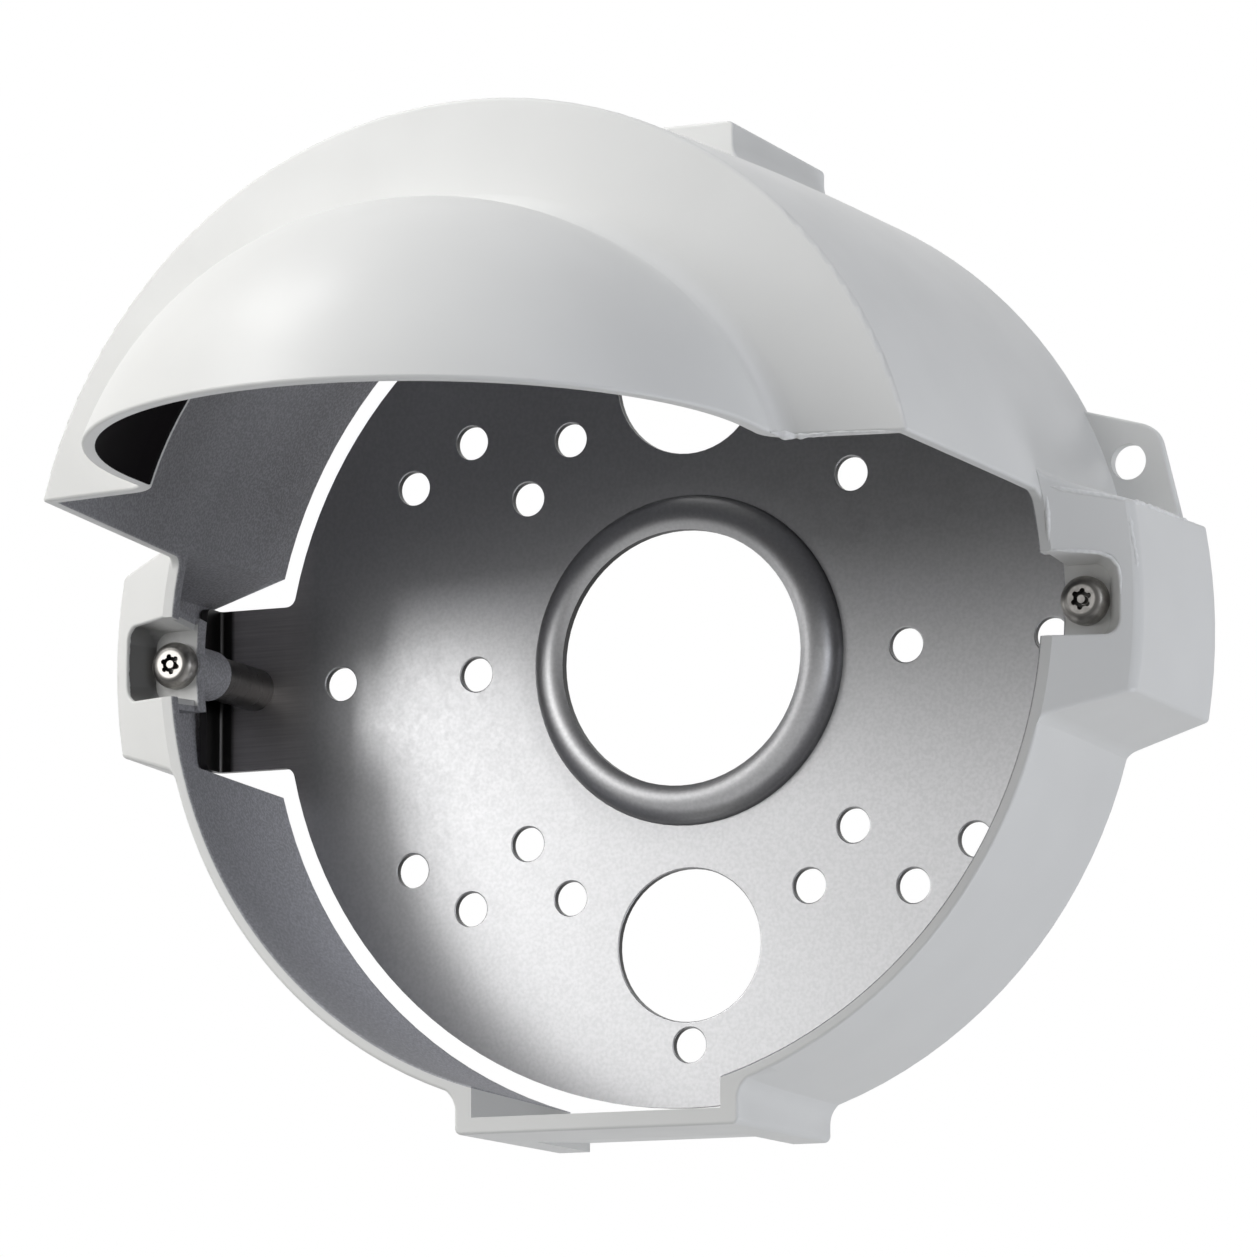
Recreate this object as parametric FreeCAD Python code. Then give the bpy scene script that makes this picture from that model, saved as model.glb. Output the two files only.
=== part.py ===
import FreeCAD
import Part
import math
import os

# Weather shroud for a dome security camera, on a round steel mounting plate.
# Millimetres. X to the right, Y into the wall, Z up. The origin is the centre of
# the plate on its wall face, and a depth is a distance forward from the wall.

# Mounting plate, pressed from one sheet
SHEET = 1.5
PLATE_GAP = 3.2
SCREW_HOLE_RADIUS = 3.1
RIM_HOLE_SET_BACK = 11.1
CONDUIT_HOLE_RADIUS = 13.65
CONDUIT_HOLE_HEIGHT = 51.1
CENTRE_HOLE_RADIUS = 23.05
HOLE_EDGE_ROUND = 0.25
COLLAR_RADIUS = 29.8
COLLAR_RISE = 4.0
COLLAR_ROLL = 4.7
EAR_GAP = 1.6
EAR_HALF_HEIGHT = 14.9
EAR_CORNER = 2.0
LIP_HEIGHT = 5.5
LIP_BEND = 2.2
LIP_CORNER = 1.5

# Hole patterns, as half spacings across and up
OCTAGON_BOX = 31.43
DOUBLE_GANG_ACROSS = 23.02
DOUBLE_GANG_UP = 41.67
SINGLE_GANG = 41.67
SQUARE_BOX = 42.66
CAMERA_ACROSS = 54.3
CAMERA_UP = 35.1

# Shroud, one moulding
WALL = 2.1
WALL_GAP = 1.0
BACK_RADIUS = 85.3
RIM_DRAW = 0.9
RIM_DEPTH = 42.8
BARREL_ROUND = 1200.0
HOOD_DRAW = 3.8
HOOD_DEPTH = 96.5
HOOD_EDGE_ROUND = 0.9
FACE_RISE = 3.5
PEAK_RADIUS = 61.0
PEAK_NECK = 8.3
PEAK_WALL = 2.4
CREASE_ROUND = 4.0
CUT_HEIGHT = 17.6
CUT_CORNER = 2.0
CUT_SLOPE = 1.3
EDGE_ROUND = 0.5
SEAM_LENGTH = 1.5 * WALL
DRAFT = 2.0

# Side lugs, which cover the ears and take the screws
LUG_STAND = 13.4
LUG_DRAW = 1.3
LUG_RIDGE_DEPTH = 35.4
LUG_RIDGE_ROUND = 2.5
LUG_HALF_HEIGHT = 16.6
LUG_LEAN = 18.0
LUG_BLEND = 4.0
LUG_EDGE_ROUND = 0.9
BLEND_SINK = 0.3

# Pocket and boss for each screw
SCREW_SET_BACK = 12.2
POCKET_DEPTH = 32.2
POCKET_RUN = 4.2
POCKET_HALF_HEIGHT = 6.3
POCKET_CORNER = 2.8
POCKET_END_LEAN = 34.0
POCKET_SIDE_LEAN = 4.5
POCKET_FLOOR = 3.0
POCKET_EDGE_ROUND = 0.4
BOSS_RADIUS = 4.6
BOSS_LENGTH = 9.3

# Feet at the top and bottom of the band
FOOT_RISE = 1.8
FOOT_HALF_WIDTH = 26.5
FOOT_BLEND = 4.5
FOOT_CORNER = 1.2
HOLLOW_HALF_WIDTH = 23.3
FOOT_FLOOR = 2.9
NOTCH_HALF_WIDTH = 19.5
NOTCH_RISE = 1.6
NOTCH_LENGTH = 24.0

# Lanyard tab behind the upper right of the band
TAB_THICKNESS = 2.2
TAB_HOLE_STAND = 3.7
TAB_HOLE_ANGLE = 19.15
TAB_HOLE_RADIUS = 3.2
TAB_EDGE_ACROSS = 5.4
TAB_EDGE_UP = 5.8
TAB_CORNER_ROUND = 5.0
TAB_TOP_LEAN = 15.7
TAB_SIDE_LEAN = 13.5
TAB_RUN = 21.0
TAB_EDGE_ROUND = 0.4

# Standoffs and screws
STANDOFF_RADIUS = 3.95
SPIGOT_RADIUS = 2.9
TAPPED_DEPTH = 12.0
SHANK_RADIUS = 2.0
SHANK_LENGTH = 20.0
HEAD_RADIUS = 4.2
HEAD_HEIGHT = 2.9
HEAD_ROUND = 1.75
SOCKET_RADIUS = 1.4
SOCKET_LOBE_RADIUS = 0.48
SOCKET_LOBES = 6
SOCKET_DEPTH = 1.7
SOCKET_TURN = 21.0
SOCKET_PIN_RADIUS = 0.7
BOSS_CLEARANCE = 0.3
THREAD_CLEARANCE = 0.1
SPIGOT_CLEARANCE = 0.05

# Derived places
RIM_RADIUS = BACK_RADIUS - RIM_DRAW
HOOD_RADIUS = BACK_RADIUS - HOOD_DRAW
PLATE_RADIUS = BACK_RADIUS - WALL - PLATE_GAP
LUG_RADIUS = BACK_RADIUS + LUG_STAND
LUG_RIDGE_RADIUS = LUG_RADIUS - LUG_DRAW
SCREW_ACROSS = LUG_RADIUS - SCREW_SET_BACK
POCKET_REACH = SCREW_ACROSS + POCKET_RUN
EAR_REACH = LUG_RADIUS - WALL - EAR_GAP
FOOT_HEIGHT = BACK_RADIUS + FOOT_RISE
HOLLOW_HEIGHT = FOOT_HEIGHT - FOOT_FLOOR
TAB_HOLE_ACROSS = (BACK_RADIUS + TAB_HOLE_STAND) * math.cos(math.radians(TAB_HOLE_ANGLE))
TAB_HOLE_UP = (BACK_RADIUS + TAB_HOLE_STAND) * math.sin(math.radians(TAB_HOLE_ANGLE))
APEX_DEPTH = HOOD_DEPTH + FACE_RISE + PEAK_NECK + PEAK_RADIUS
LUG_SLOPE = (RIM_DEPTH - LUG_RIDGE_DEPTH) / (LUG_RIDGE_RADIUS - RIM_RADIUS)
FLOOR_BACK = POCKET_DEPTH - POCKET_FLOOR
STANDOFF_END = FLOOR_BACK - BOSS_LENGTH
INNER_START = RIM_RADIUS - 6 * WALL
MID_WALL = RIM_RADIUS - WALL / 2
MARGIN = 10.0
NEAR = 0.05


def level(across, depth, up):
    return FreeCAD.Vector(across, -depth, up)


def middle_of(edge):
    return edge.valueAt((edge.FirstParameter + edge.LastParameter) / 2)


def rounded(shape, radius, choose):
    """The shape with every edge that a test picks rounded."""
    return shape.makeFillet(radius, [edge for edge in shape.Edges if choose(edge)])


def radial(point):
    """A profile point (radius, depth), turned about the Y axis later."""
    return level(point.x, point.y, 0)


def corner_arc(before, corner, after, radius):
    """Start, middle and end of the arc that rounds one corner of an outline."""
    if radius == 0:
        return corner, corner, corner
    to_before = (before - corner).normalize()
    to_after = (after - corner).normalize()
    half = to_before.getAngle(to_after) / 2
    bisector = (to_before + to_after).normalize()
    run = radius / math.tan(half)
    middle = corner + bisector * (radius / math.sin(half) - radius)
    return corner + to_before * run, middle, corner + to_after * run


def outline(corners, place):
    """Closed wire through corners (a, b, rounding), each set in space by place."""
    points = [FreeCAD.Vector(a, b, 0) for a, b, rounding in corners]
    count = len(points)
    arcs = []
    for i in range(count):
        after = points[(i + 1) % count]
        arcs.append(corner_arc(points[i - 1], points[i], after, corners[i][2]))
    edges = []
    for i in range(count):
        start, middle, end = arcs[i]
        if corners[i][2] > 0:
            edges.append(Part.Arc(place(start), place(middle), place(end)).toShape())
        following = arcs[(i + 1) % count][0]
        if end.distanceToPoint(following) > 1e-6:
            edges.append(Part.makeLine(place(end), place(following)))
    return Part.Wire(edges)


def turned(corners):
    """Solid of revolution about the Y axis from corners (radius, depth, rounding)."""
    face = Part.Face(outline(corners, radial))
    return face.revolve(FreeCAD.Vector(0, 0, 0), FreeCAD.Vector(0, 1, 0), 360)


def block(corners, near, far):
    """Straight solid from corners (across, up, rounding) between two depths."""
    face = Part.Face(outline(corners, lambda p: level(p.x, near, p.y)))
    return face.extrude(FreeCAD.Vector(0, near - far, 0))


def pin(radius, near, far, across=0.0, up=0.0):
    """Round bar along the depth, between two depths."""
    forward = FreeCAD.Vector(0, -1, 0)
    return Part.makeCylinder(radius, far - near, level(across, near, up), forward)


def on_sides(shape):
    """A shape made on the right, and its mirror image on the left."""
    return [shape, shape.mirror(FreeCAD.Vector(0, 0, 0), FreeCAD.Vector(1, 0, 0))]


def join(shape, others):
    return shape.fuse(others).removeSplitter()


def taper(depth):
    """How far a moulded face has drawn in at a depth, measured from the back edge."""
    return (depth - WALL_GAP) * math.tan(math.radians(DRAFT))


def band_radius(depth):
    share = (depth - WALL_GAP) / (RIM_DEPTH - WALL_GAP)
    return BACK_RADIUS + share * (RIM_RADIUS - BACK_RADIUS)


def raised_edge(place, circle, reach, half_width, lean, blend, corner):
    """Outline of a block that stands out of a round body.

    The block reaches out along the first axis. Its sides lean in by an angle, end in
    rounded corners, and run into the body's circle through hollow arcs."""
    tilt = math.radians(lean)
    along = FreeCAD.Vector(math.cos(tilt), -math.sin(tilt), 0)
    outward = FreeCAD.Vector(math.sin(tilt), math.cos(tilt), 0)
    tip = FreeCAD.Vector(reach, half_width, 0)
    # The hollow arc's centre is one blend off the side and one blend off the circle
    base = tip + outward * blend
    gap = base.dot(base) - (circle + blend) ** 2
    centre = base + along * (math.sqrt(base.dot(along) ** 2 - gap) - base.dot(along))
    leave = centre - outward * blend
    land = centre * (circle / (circle + blend))
    hollow = centre + ((leave + land) / 2 - centre).normalize() * blend
    start, middle, end = corner_arc(leave, tip, FreeCAD.Vector(reach, 0, 0), corner)
    upper = [land, hollow, leave, start, middle, end]
    lower = [FreeCAD.Vector(p.x, -p.y, 0) for p in reversed(upper)]
    land, hollow, leave, start, middle, end = [place(p) for p in upper]
    end_low, middle_low, start_low, leave_low, hollow_low, land_low = [place(p) for p in lower]
    edges = [Part.Arc(land, hollow, leave).toShape(), Part.makeLine(leave, start)]
    if corner > 0:
        edges.append(Part.Arc(start, middle, end).toShape())
    edges.append(Part.makeLine(end, end_low))
    if corner > 0:
        edges.append(Part.Arc(end_low, middle_low, start_low).toShape())
    edges.append(Part.makeLine(start_low, leave_low))
    edges.append(Part.Arc(leave_low, hollow_low, land_low).toShape())
    edges.append(Part.makeLine(land_low, land))
    return Part.Wire(edges)


def between(section, near, far):
    """Solid between two outlines of the same kind, one at each depth."""
    return Part.makeLoft([section(near), section(far)], True, True)


def profile_block(corners, half_width):
    """Solid from corners (depth, up, rounding), as wide to the left as to the right."""
    face = Part.Face(outline(corners, lambda p: level(-half_width, p.x, p.y)))
    return face.extrude(FreeCAD.Vector(2 * half_width, 0, 0))


def plate_ear():
    flat_end = EAR_REACH - LIP_BEND - SHEET

    def place(p):
        return level(p.x, 0, p.y)

    edge = raised_edge(place, PLATE_RADIUS, flat_end, EAR_HALF_HEIGHT, 0, EAR_CORNER, 0)
    flat = Part.Face(edge).extrude(FreeCAD.Vector(0, -SHEET, 0))
    front = SHEET + LIP_HEIGHT
    bend = [
        (PLATE_RADIUS, 0, 0), (EAR_REACH, 0, LIP_BEND), (EAR_REACH, front, 0),
        (EAR_REACH - SHEET, front, 0), (EAR_REACH - SHEET, SHEET, LIP_BEND - SHEET),
        (PLATE_RADIUS, SHEET, 0),
    ]
    face = Part.Face(outline(bend, lambda p: level(p.x, p.y, -EAR_HALF_HEIGHT)))
    lip = face.extrude(FreeCAD.Vector(0, 0, 2 * EAR_HALF_HEIGHT))
    rounded = profile_block([
        (-MARGIN, -EAR_HALF_HEIGHT, 0), (front, -EAR_HALF_HEIGHT, LIP_CORNER),
        (front, EAR_HALF_HEIGHT, LIP_CORNER), (-MARGIN, EAR_HALF_HEIGHT, 0),
    ], EAR_REACH + MARGIN)
    return flat.fuse(lip.common(rounded))


def plate_collar():
    """Ring round the centre hole, rolled over a round crest from the same sheet."""
    crest = SHEET + COLLAR_RISE
    roll_depth = crest - COLLAR_ROLL
    roll_radius = COLLAR_RADIUS - math.sqrt(COLLAR_ROLL ** 2 - (roll_depth - SHEET) ** 2)
    inner_roll = COLLAR_ROLL - SHEET

    def at_hole(roll):
        rise = math.sqrt(roll ** 2 - (roll_radius - CENTRE_HOLE_RADIUS) ** 2)
        return FreeCAD.Vector(CENTRE_HOLE_RADIUS, roll_depth + rise, 0)

    mouth = at_hole(COLLAR_ROLL)
    mouth_back = at_hole(inner_roll)
    foot = FreeCAD.Vector(COLLAR_RADIUS, SHEET, 0)
    over = FreeCAD.Vector(roll_radius, crest, 0)
    under = FreeCAD.Vector(roll_radius, crest - SHEET, 0)
    inner_side = FreeCAD.Vector(roll_radius + inner_roll, roll_depth, 0)
    inner_foot = FreeCAD.Vector(roll_radius + inner_roll, 0, 0)
    outer_foot = FreeCAD.Vector(COLLAR_RADIUS + SHEET, 0, 0)
    outer_rim = FreeCAD.Vector(COLLAR_RADIUS + SHEET, SHEET, 0)
    edges = [Part.Arc(radial(foot), radial(over), radial(mouth)).toShape()]
    edges.append(Part.makeLine(radial(mouth), radial(mouth_back)))
    edges.append(Part.Arc(radial(mouth_back), radial(under), radial(inner_side)).toShape())
    corners = [inner_side, inner_foot, outer_foot, outer_rim, foot]
    edges += [Part.makeLine(radial(a), radial(b)) for a, b in zip(corners, corners[1:])]
    face = Part.Face(Part.Wire(edges))
    return face.revolve(FreeCAD.Vector(0, 0, 0), FreeCAD.Vector(0, 1, 0), 360)


def plate_hole_places():
    """Centres of the small holes: each box pattern, the camera's and the rim's."""
    squares = [
        (OCTAGON_BOX, OCTAGON_BOX), (DOUBLE_GANG_ACROSS, DOUBLE_GANG_UP),
        (SQUARE_BOX, SQUARE_BOX), (CAMERA_ACROSS, CAMERA_UP),
    ]
    places = [(SINGLE_GANG, 0), (-SINGLE_GANG, 0)]
    rim = PLATE_RADIUS - RIM_HOLE_SET_BACK
    places += [(rim, 0), (-rim, 0), (0, rim), (0, -rim)]
    for across, up in squares:
        places += [(side * across, end * up) for side in (1, -1) for end in (1, -1)]
    return places


def is_hole_mouth(edge):
    """True for the front rim of a hole that is punched through the flat of the plate."""
    round_rim = edge.Curve.TypeId == "Part::GeomCircle" and edge.Curve.Radius < CENTRE_HOLE_RADIUS
    middle = middle_of(edge)
    on_flat = math.hypot(middle.x, middle.z) < PLATE_RADIUS
    return round_rim and on_flat and abs(-middle.y - SHEET) < NEAR


def mounting_plate():
    disc = pin(PLATE_RADIUS, 0, SHEET).cut(pin(COLLAR_RADIUS, -MARGIN, MARGIN))
    plate = join(disc, on_sides(plate_ear()) + [plate_collar()])
    holes = [pin(SCREW_HOLE_RADIUS, -MARGIN, MARGIN, x, z) for x, z in plate_hole_places()]
    for up in (CONDUIT_HOLE_HEIGHT, -CONDUIT_HOLE_HEIGHT):
        holes.append(pin(CONDUIT_HOLE_RADIUS, -MARGIN, MARGIN, 0, up))
    holes += on_sides(pin(SPIGOT_RADIUS + SPIGOT_CLEARANCE, -MARGIN, MARGIN, SCREW_ACROSS))
    return rounded(plate.cut(holes), HOLE_EDGE_ROUND, is_hole_mouth)


def shroud_form():
    """Outside of the band, the hood and its domed peak, filled to the axis."""
    face_front = HOOD_DEPTH + FACE_RISE
    return turned([
        (0, WALL_GAP, 0), (BACK_RADIUS, WALL_GAP, 0), (RIM_RADIUS, RIM_DEPTH, BARREL_ROUND),
        (HOOD_RADIUS, HOOD_DEPTH, HOOD_EDGE_ROUND), (PEAK_RADIUS, face_front, CREASE_ROUND),
        (PEAK_RADIUS, APEX_DEPTH, PEAK_RADIUS), (0, APEX_DEPTH, 0),
    ])


def shroud_space():
    """Space inside the band, the hood and the peak, open at the back."""
    hollow = PEAK_RADIUS - PEAK_WALL
    face_back = HOOD_DEPTH + FACE_RISE - WALL
    return turned([
        (0, WALL_GAP - MARGIN, 0), (BACK_RADIUS - WALL, WALL_GAP - MARGIN, 0),
        (BACK_RADIUS - WALL, WALL_GAP, 0), (RIM_RADIUS - WALL, RIM_DEPTH, BARREL_ROUND),
        (HOOD_RADIUS - WALL, HOOD_DEPTH - WALL, 0), (hollow, face_back, CREASE_ROUND + PEAK_WALL),
        (hollow, APEX_DEPTH - PEAK_WALL, hollow), (0, APEX_DEPTH - PEAK_WALL, 0),
    ])


def front_cut():
    """Everything in front of the band and below the hood's bottom edge."""
    far = APEX_DEPTH + MARGIN
    rise = (far - RIM_DEPTH) * math.tan(math.radians(CUT_SLOPE))
    low = -BACK_RADIUS - MARGIN
    corners = [
        (RIM_DEPTH, low, 0), (RIM_DEPTH, CUT_HEIGHT, CUT_CORNER),
        (far, CUT_HEIGHT + rise, 0), (far, low, 0),
    ]
    return profile_block(corners, BACK_RADIUS + MARGIN)


def is_front_corner(edge):
    """True for an edge of the bare shell round its open front, not for a seam across its wall."""
    middle = middle_of(edge)
    bottom = CUT_HEIGHT + (-middle.y - RIM_DEPTH) * math.tan(math.radians(CUT_SLOPE))
    seam = edge.Curve.TypeId == "Part::GeomLine" and edge.Length < SEAM_LENGTH
    return -middle.y > RIM_DEPTH - NEAR and middle.z < bottom + NEAR and not seam


def bare_shell():
    """Band, hood and peak as one wall, before anything stands out of it."""
    shell = shroud_form().cut([front_cut(), shroud_space()]).removeSplitter()
    return rounded(shell, EDGE_ROUND, is_front_corner)


def lug_ring(start, inset):
    """Turned form of the lugs: sloping front, ridge and drafted side, set in by a wall."""
    stretch = math.hypot(1, LUG_SLOPE)
    ridge = LUG_RIDGE_RADIUS - inset
    ridge_depth = RIM_DEPTH - (ridge - RIM_RADIUS) * LUG_SLOPE - inset * stretch
    knee = RIM_RADIUS - inset * (stretch - 1) / LUG_SLOPE
    rounding = LUG_RIDGE_ROUND - inset if inset < LUG_RIDGE_ROUND else 0
    return turned([
        (start, WALL_GAP, 0), (LUG_RADIUS - inset, WALL_GAP, 0),
        (ridge, ridge_depth, rounding), (knee, RIM_DEPTH - inset, 0),
        (start, RIM_DEPTH - inset, 0),
    ])


def lug_half_height(depth):
    """Half the lug's height at its reach, past the ring, at a depth."""
    return LUG_HALF_HEIGHT - MARGIN * math.tan(math.radians(LUG_LEAN)) - taper(depth)


def is_lug_corner(edge):
    """True for an edge between a lug's side and its ridge, front or outer face."""
    middle = middle_of(edge)
    outside = math.hypot(middle.x, middle.z) > RIM_RADIUS + LUG_EDGE_ROUND
    beside = abs(middle.z) > LUG_HALF_HEIGHT / 2
    return outside and beside and middle.y < -WALL_GAP - LUG_EDGE_ROUND


def lug_form():
    """Outside of the right lug."""
    def section(depth):
        return raised_edge(lambda p: level(p.x, depth, p.y), band_radius(depth) - BLEND_SINK,
                           LUG_RADIUS + MARGIN, lug_half_height(depth), LUG_LEAN, LUG_BLEND, 0)

    lug = between(section, WALL_GAP, RIM_DEPTH).common(lug_ring(MID_WALL, 0))
    return rounded(lug, LUG_EDGE_ROUND, is_lug_corner)


def lug_space():
    """Hollow of the right lug, open at the back and towards the band."""
    lean = math.tan(math.radians(LUG_LEAN))
    inset = WALL / math.cos(math.radians(LUG_LEAN))
    reach = LUG_RADIUS + MARGIN

    def section(depth):
        half = lug_half_height(depth) - inset
        wide = half + (reach - INNER_START) * lean
        corners = [(INNER_START, -wide, 0), (reach, -half, 0), (reach, half, 0), (INNER_START, wide, 0)]
        return outline(corners, lambda p: level(p.x, depth, p.y))

    return between(section, WALL_GAP, RIM_DEPTH).common(lug_ring(INNER_START, WALL))


def pocket(inset, near, far, start):
    """Block in the form of the right screw pocket, its walls moved out by an inset."""
    end_lean = math.tan(math.radians(POCKET_END_LEAN))
    side_lean = math.tan(math.radians(POCKET_SIDE_LEAN))

    def section(depth):
        reach = POCKET_REACH + inset + (depth - POCKET_DEPTH) * end_lean
        half = POCKET_HALF_HEIGHT + inset + (depth - POCKET_DEPTH) * side_lean
        rounding = POCKET_CORNER + inset
        corners = [(start, -half, 0), (reach, -half, rounding), (reach, half, rounding), (start, half, 0)]
        return outline(corners, lambda p: level(p.x, depth, p.y))

    return between(section, near, far)


def is_pocket_mouth(edge):
    """True for an edge where a screw pocket comes out through a lug's sloping front."""
    middle = middle_of(edge)
    out = math.hypot(middle.x, middle.z) - RIM_RADIUS
    run = -middle.y - POCKET_DEPTH
    reach = POCKET_REACH + run * math.tan(math.radians(POCKET_END_LEAN))
    half = POCKET_HALF_HEIGHT + run * math.tan(math.radians(POCKET_SIDE_LEAN))
    on_slope = out > NEAR and -middle.y > RIM_DEPTH - out * LUG_SLOPE - NEAR
    return on_slope and abs(middle.x) < reach + NEAR and abs(middle.z) < half + NEAR


def foot_form(side):
    """Outside of the top foot (side 1) or the bottom foot (side -1)."""
    def section(depth):
        return raised_edge(lambda p: level(p.y, depth, side * p.x), band_radius(depth) - BLEND_SINK,
                           FOOT_HEIGHT, FOOT_HALF_WIDTH, 0, FOOT_BLEND, FOOT_CORNER)

    def is_foot_front(edge):
        middle = middle_of(edge)
        return -middle.y > RIM_DEPTH - NEAR and abs(middle.z) > RIM_RADIUS - FOOT_BLEND

    foot = rounded(between(section, WALL_GAP, RIM_DEPTH), EDGE_ROUND, is_foot_front)
    return foot.cut(pin(MID_WALL, 0, RIM_DEPTH + MARGIN))


def foot_space(side, far):
    """Hollow behind a foot, with a flat floor, up to a depth."""
    low, high = sorted((side * HOLLOW_HEIGHT, side * INNER_START))
    corners = [
        (-HOLLOW_HALF_WIDTH, low, 0), (HOLLOW_HALF_WIDTH, low, 0),
        (HOLLOW_HALF_WIDTH, high, 0), (-HOLLOW_HALF_WIDTH, high, 0),
    ]
    return block(corners, WALL_GAP - MARGIN, far)


def foot_notch():
    """Shallow ramp that leaves the bottom foot resting on its two ends."""
    corners = [
        (WALL_GAP, NOTCH_RISE - FOOT_HEIGHT, 0), (NOTCH_LENGTH, -FOOT_HEIGHT, 0),
        (NOTCH_LENGTH, -FOOT_HEIGHT - MARGIN, 0), (WALL_GAP, -FOOT_HEIGHT - MARGIN, 0),
    ]
    return profile_block(corners, NOTCH_HALF_WIDTH)


def lanyard_tab():
    top = math.radians(TAB_TOP_LEAN)
    side = math.radians(TAB_SIDE_LEAN)
    across = TAB_HOLE_ACROSS + TAB_EDGE_ACROSS
    up = TAB_HOLE_UP + TAB_EDGE_UP
    inner = (across - TAB_RUN * math.cos(top), up + TAB_RUN * math.sin(top))
    lower = (across + TAB_RUN * math.sin(side), up - TAB_RUN * math.cos(side))
    corners = [
        (inner[0], inner[1], 0), (across, up, TAB_CORNER_ROUND),
        (lower[0], lower[1], 0), (inner[0], lower[1], 0),
    ]

    def is_outer_corner(edge):
        middle = middle_of(edge)
        outside = math.hypot(middle.x, middle.z) > BACK_RADIUS + TAB_EDGE_ROUND
        along_face = edge.Length > TAB_THICKNESS + NEAR
        return outside and middle.z > lower[1] + NEAR and along_face

    tab = rounded(block(corners, WALL_GAP, WALL_GAP + TAB_THICKNESS), TAB_EDGE_ROUND, is_outer_corner)
    return tab.cut(pin(MID_WALL, 0, RIM_DEPTH))


def shroud():
    outside = join(bare_shell(), on_sides(lug_form()) + [foot_form(1), foot_form(-1), lanyard_tab()])
    tab_hole = pin(TAB_HOLE_RADIUS, -MARGIN, MARGIN, TAB_HOLE_ACROSS, TAB_HOLE_UP)
    feet = [foot_space(1, RIM_DEPTH - WALL), foot_space(-1, RIM_DEPTH + MARGIN), foot_notch()]
    shell = outside.cut(on_sides(lug_space()) + feet + [tab_hole])
    floor = pocket(WALL, FLOOR_BACK, POCKET_DEPTH, INNER_START).cut(shroud_space())
    walls = pocket(WALL, FLOOR_BACK, RIM_DEPTH, INNER_START).common(lug_form())
    boss = pin(BOSS_RADIUS, STANDOFF_END, POCKET_DEPTH, SCREW_ACROSS)
    shell = join(shell, on_sides(floor) + on_sides(walls) + on_sides(boss))
    opened = pocket(0, POCKET_DEPTH, RIM_DEPTH + MARGIN, INNER_START)
    screw_hole = pin(SHANK_RADIUS + BOSS_CLEARANCE, 0, RIM_DEPTH, SCREW_ACROSS)
    shell = shell.cut(on_sides(opened) + on_sides(screw_hole)).removeSplitter()
    return rounded(shell, POCKET_EDGE_ROUND, is_pocket_mouth)


def standoff():
    """Round pillar pressed into the ear, tapped from its front end."""
    body = pin(STANDOFF_RADIUS, SHEET, STANDOFF_END, SCREW_ACROSS)
    body = body.fuse(pin(SPIGOT_RADIUS, 0, SHEET, SCREW_ACROSS))
    start = STANDOFF_END - TAPPED_DEPTH
    return body.cut(pin(SHANK_RADIUS + THREAD_CLEARANCE, start, STANDOFF_END, SCREW_ACROSS))


def screw():
    """Button-head screw with a six-lobed socket and a centre pin."""
    top = POCKET_DEPTH + HEAD_HEIGHT
    body = turned([
        (0, POCKET_DEPTH - SHANK_LENGTH, 0), (SHANK_RADIUS, POCKET_DEPTH - SHANK_LENGTH, 0),
        (SHANK_RADIUS, POCKET_DEPTH, 0), (HEAD_RADIUS, POCKET_DEPTH, 0),
        (HEAD_RADIUS, top, HEAD_ROUND), (0, top, 0),
    ])
    socket = pin(SOCKET_RADIUS, top - SOCKET_DEPTH, top)
    for i in range(SOCKET_LOBES):
        angle = math.radians(SOCKET_TURN) + 2 * math.pi * i / SOCKET_LOBES
        across = SOCKET_RADIUS * math.cos(angle)
        up = SOCKET_RADIUS * math.sin(angle)
        socket = socket.fuse(pin(SOCKET_LOBE_RADIUS, top - SOCKET_DEPTH, top, across, up))
    socket = socket.cut(pin(SOCKET_PIN_RADIUS, 0, top))
    body = body.cut(socket)
    body.translate(FreeCAD.Vector(SCREW_ACROSS, 0, 0))
    return body


def main():
    standoff_right, standoff_left = on_sides(standoff())
    screw_right, screw_left = on_sides(screw())
    nodes = {
        "shroud": shroud(), "mounting_plate": mounting_plate(),
        "standoff_right": standoff_right, "standoff_left": standoff_left,
        "screw_right": screw_right, "screw_left": screw_left,
    }
    os.makedirs("parts", exist_ok=True)
    for name, shape in nodes.items():
        solids = shape.Solids
        if len(solids) != 1 or not shape.isValid():
            raise ValueError(f"{name} has {len(solids)} solids or is not valid")
        solids[0].exportStep(f"parts/{name}.step")
        box = shape.BoundBox
        print(name, round(shape.Volume / 1000, 2), "cm3", box)


main()
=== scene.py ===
import math

import bpy
from bpy.props import FloatProperty, FloatVectorProperty, PointerProperty
from mathutils import Euler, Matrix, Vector


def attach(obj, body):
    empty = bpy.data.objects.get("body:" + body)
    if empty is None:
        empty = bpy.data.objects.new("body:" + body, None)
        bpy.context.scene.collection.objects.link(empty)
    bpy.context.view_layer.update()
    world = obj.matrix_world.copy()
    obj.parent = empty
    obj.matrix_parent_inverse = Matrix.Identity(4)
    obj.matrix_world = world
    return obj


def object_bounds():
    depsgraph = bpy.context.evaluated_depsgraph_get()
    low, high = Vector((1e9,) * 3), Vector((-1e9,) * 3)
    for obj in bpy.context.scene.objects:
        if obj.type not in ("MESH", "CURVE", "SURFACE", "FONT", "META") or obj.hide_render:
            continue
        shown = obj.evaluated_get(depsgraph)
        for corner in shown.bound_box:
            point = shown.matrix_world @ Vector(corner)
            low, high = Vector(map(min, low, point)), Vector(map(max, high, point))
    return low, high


bl_info = {
    "name": "Camera shroud dressing",
    "version": (1, 0, 0),
    "blender": (4, 5, 0),
    "location": "View3D > Sidebar > Shroud",
    "description": "Finishes the moulded shroud, its steel plate and fasteners, and sets the studio",
    "category": "Object",
}

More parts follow.
